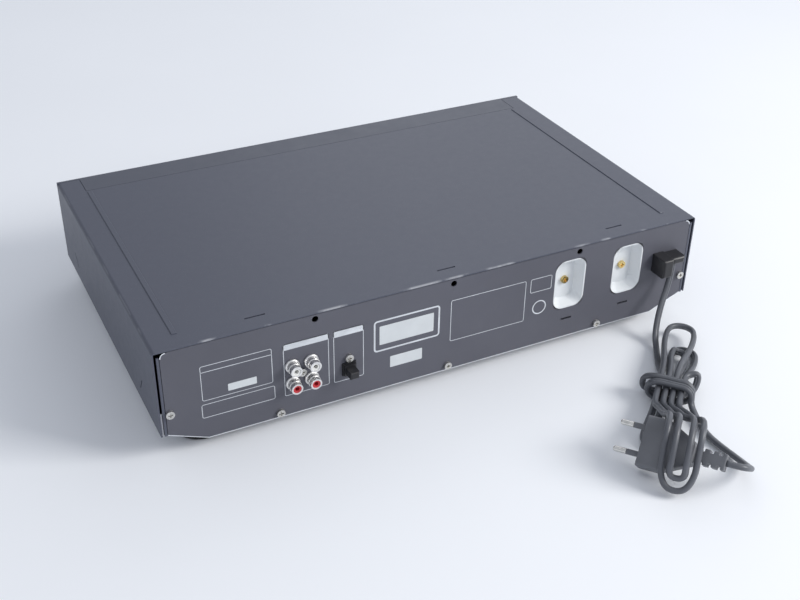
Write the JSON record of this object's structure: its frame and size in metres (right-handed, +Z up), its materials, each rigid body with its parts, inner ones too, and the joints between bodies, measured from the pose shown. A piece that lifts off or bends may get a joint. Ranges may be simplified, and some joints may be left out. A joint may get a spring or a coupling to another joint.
{
  "type": "minidisc deck",
  "caption": "Low wide disc deck in a folded steel case with a slot-loading mechanism, front keys and knobs, rear phono jacks and a tied flat mains cord",
  "frame": {"origin": "middle of the deck's box in X and Y without its cord, at the bottom of the feet", "axes": "+X to the right seen from the front, +Y to the rear panel, +Z up"},
  "size_m": [0.43, 0.4792, 0.0887],
  "materials": {
    "cover_paint": "satin, dark blue-grey",
    "rear_paint": "satin, dark blue-grey",
    "steel": "zinc plated",
    "fascia": "fine grain",
    "smoked": "smoked",
    "key": "satin",
    "knob": "satin",
    "rubber": "matt",
    "black_plastic": "matt",
    "chrome": "polished",
    "white": "satin",
    "red": "satin",
    "brass": "bright",
    "screw": "bright zinc",
    "cup": "satin, light grey",
    "board": "green laminate",
    "chip": "matt",
    "capacitor": "printed sleeve",
    "core": "varnished laminations",
    "coil": "wrapped",
    "tube_glass": "dark glass",
    "motor": "drawn can",
    "white_part": "moulded",
    "lens": "coated",
    "cord": "dark grey sheath",
    "plug": "dark grey moulding",
    "pin": "nickel plated"
  },
  "bodies": {
    "deck": {"top_cover": "cover_paint", "bottom_chassis": "steel", "rear_panel": "rear_paint", "front_panel": "fascia", "display_window": "smoked", "display_tube": "tube_glass", "front_board": "board", "front_components": "chip", "headphone_socket": "black_plastic", "feet": "rubber", "rear_screws": "screw", "chassis_screws": "screw", "mech_frame": "steel", "posts": "steel", "rubber_mounts": "rubber", "spindle_motor": "motor", "guide_rods": "chrome", "drive_motors": "motor", "head_arm_bracket": "steel", "main_board": "board", "capacitors": "capacitor", "chips": "chip", "transformer_core": "core", "transformer_coil": "coil", "rear_sockets": "black_plastic", "jack_shells": "chrome", "white_inserts": "white", "red_inserts": "red", "rear_cups": "cup", "brass_screws": "brass", "strain_relief": "black_plastic", "cord_lead": "cord", "cord_hank": "cord", "cord_tail": "cord", "plug_body": "plug", "plug_pins": "pin"},
    "slot_door": {"slot_door": "fascia"},
    "jog_sleeve": {"jog_sleeve": "white_part"},
    "jog_knob": {"jog_knob": "knob"},
    "record_level_knob": {"record_level_knob": "knob"},
    "phones_level_knob": {"phones_level_knob": "knob"},
    "turntable": {"turntable": "black_plastic"},
    "pickup": {"pickup_sled": "black_plastic", "pickup_lens": "lens"},
    "lead_screw": {"lead_screw": "chrome"},
    "disc_holder": {"disc_holder": "steel"},
    "loading_slider": {"loading_slider": "steel"},
    "magnetic_head_arm": {"magnetic_head_arm": "steel"},
    "loading_pinion": {"loading_pinion": "white_part"},
    "optical_dust_plug": {"optical_dust_plug": "black_plastic"},
    "rewind_button": {"rewind_button": "key"},
    "forward_button": {"forward_button": "key"},
    "play_button": {"play_button": "key"},
    "pause_button": {"pause_button": "key"},
    "stop_button": {"stop_button": "key"},
    "record_button": {"record_button": "key"},
    "no_button": {"no_button": "key"},
    "yes_button": {"yes_button": "key"},
    "power_button": {"power_button": "key"},
    "eject_button": {"eject_button": "key"}
  },
  "joints": [
    {"name": "rewind_press", "type": "slide", "parent": "deck", "child": "rewind_button", "axis": [0, 1, 0], "range_m": [0, 0.0008], "stiffness_N_per_m": 300},
    {"name": "forward_press", "type": "slide", "parent": "deck", "child": "forward_button", "axis": [0, 1, 0], "range_m": [0, 0.0008], "stiffness_N_per_m": 300},
    {"name": "play_press", "type": "slide", "parent": "deck", "child": "play_button", "axis": [0, 1, 0], "range_m": [0, 0.0008], "stiffness_N_per_m": 300},
    {"name": "pause_press", "type": "slide", "parent": "deck", "child": "pause_button", "axis": [0, 1, 0], "range_m": [0, 0.0008], "stiffness_N_per_m": 300},
    {"name": "stop_press", "type": "slide", "parent": "deck", "child": "stop_button", "axis": [0, 1, 0], "range_m": [0, 0.0008], "stiffness_N_per_m": 300},
    {"name": "record_press", "type": "slide", "parent": "deck", "child": "record_button", "axis": [0, 1, 0], "range_m": [0, 0.0008], "stiffness_N_per_m": 300},
    {"name": "no_press", "type": "slide", "parent": "deck", "child": "no_button", "axis": [0, 1, 0], "range_m": [0, 0.0008], "stiffness_N_per_m": 300},
    {"name": "yes_press", "type": "slide", "parent": "deck", "child": "yes_button", "axis": [0, 1, 0], "range_m": [0, 0.0008], "stiffness_N_per_m": 300},
    {"name": "power_press", "type": "slide", "parent": "deck", "child": "power_button", "axis": [0, 1, 0], "range_m": [0, 0.0008], "stiffness_N_per_m": 300},
    {"name": "eject_press", "type": "slide", "parent": "deck", "child": "eject_button", "axis": [0, 1, 0], "range_m": [0, 0.0008], "stiffness_N_per_m": 300},
    {"name": "jog_turn", "type": "hinge", "parent": "deck", "child": "jog_sleeve", "pos_m": [0.172, -0.12, 0.062], "axis": [0, 1, 0], "continuous": true},
    {"name": "jog_press", "type": "slide", "parent": "jog_sleeve", "child": "jog_knob", "axis": [0, 1, 0], "range_m": [0, 0.0007], "stiffness_N_per_m": 400},
    {"name": "record_level_turn", "type": "hinge", "parent": "deck", "child": "record_level_knob", "pos_m": [0.178, -0.12, 0.028], "axis": [0, 1, 0], "range_deg": [-150, 150]},
    {"name": "phones_level_turn", "type": "hinge", "parent": "deck", "child": "phones_level_knob", "pos_m": [-0.16, -0.12, 0.031], "axis": [0, 1, 0], "range_deg": [-150, 150]},
    {"name": "slot_door_swing", "type": "hinge", "parent": "deck", "child": "slot_door", "pos_m": [-0.07, -0.127, 0.0787], "axis": [1, 0, 0], "range_deg": [0, 78], "stiffness_Nm_per_rad": 0.002, "springref_deg": -20.05},
    {"name": "turntable_spin", "type": "hinge", "parent": "deck", "child": "turntable", "pos_m": [-0.07, -0.0659, 0.051], "axis": [0, 0, 1], "continuous": true},
    {"name": "pickup_slide", "type": "slide", "parent": "deck", "child": "pickup", "axis": [0, 1, 0], "range_m": [0, 0.022]},
    {"name": "lead_screw_turn", "type": "hinge", "parent": "deck", "child": "lead_screw", "pos_m": [-0.042, -0.0489, 0.056], "axis": [0, 1, 0], "range_deg": [0, 2640]},
    {"name": "loading_slide", "type": "slide", "parent": "deck", "child": "loading_slider", "axis": [0, 1, 0], "range_m": [0, 0.018]},
    {"name": "disc_holder_lift", "type": "slide", "parent": "deck", "child": "disc_holder", "axis": [0, 0, 1], "range_m": [-0.006, 0]},
    {"name": "loading_pinion_turn", "type": "hinge", "parent": "deck", "child": "loading_pinion", "pos_m": [-0.0217, -0.06449, 0.0492], "axis": [1, 0, 0], "range_deg": [-172, 0]},
    {"name": "head_arm_swing", "type": "hinge", "parent": "deck", "child": "magnetic_head_arm", "pos_m": [-0.07, 0.0041, 0.0793], "axis": [1, 0, 0], "range_deg": [0, 2.5], "stiffness_Nm_per_rad": 0.06, "springref_deg": -14.32},
    {"name": "dust_plug_pull", "type": "slide", "parent": "deck", "child": "optical_dust_plug", "axis": [0, 1, 0], "range_m": [0, 0.014]}
  ],
  "couplings": [
    {"joint": "disc_holder_lift", "follows": "loading_slide", "ratio": -0.33333},
    {"joint": "loading_pinion_turn", "follows": "loading_slide", "rad_per_m": -166.67},
    {"joint": "lead_screw_turn", "follows": "pickup_slide", "rad_per_m": 2094.4}
  ]
}
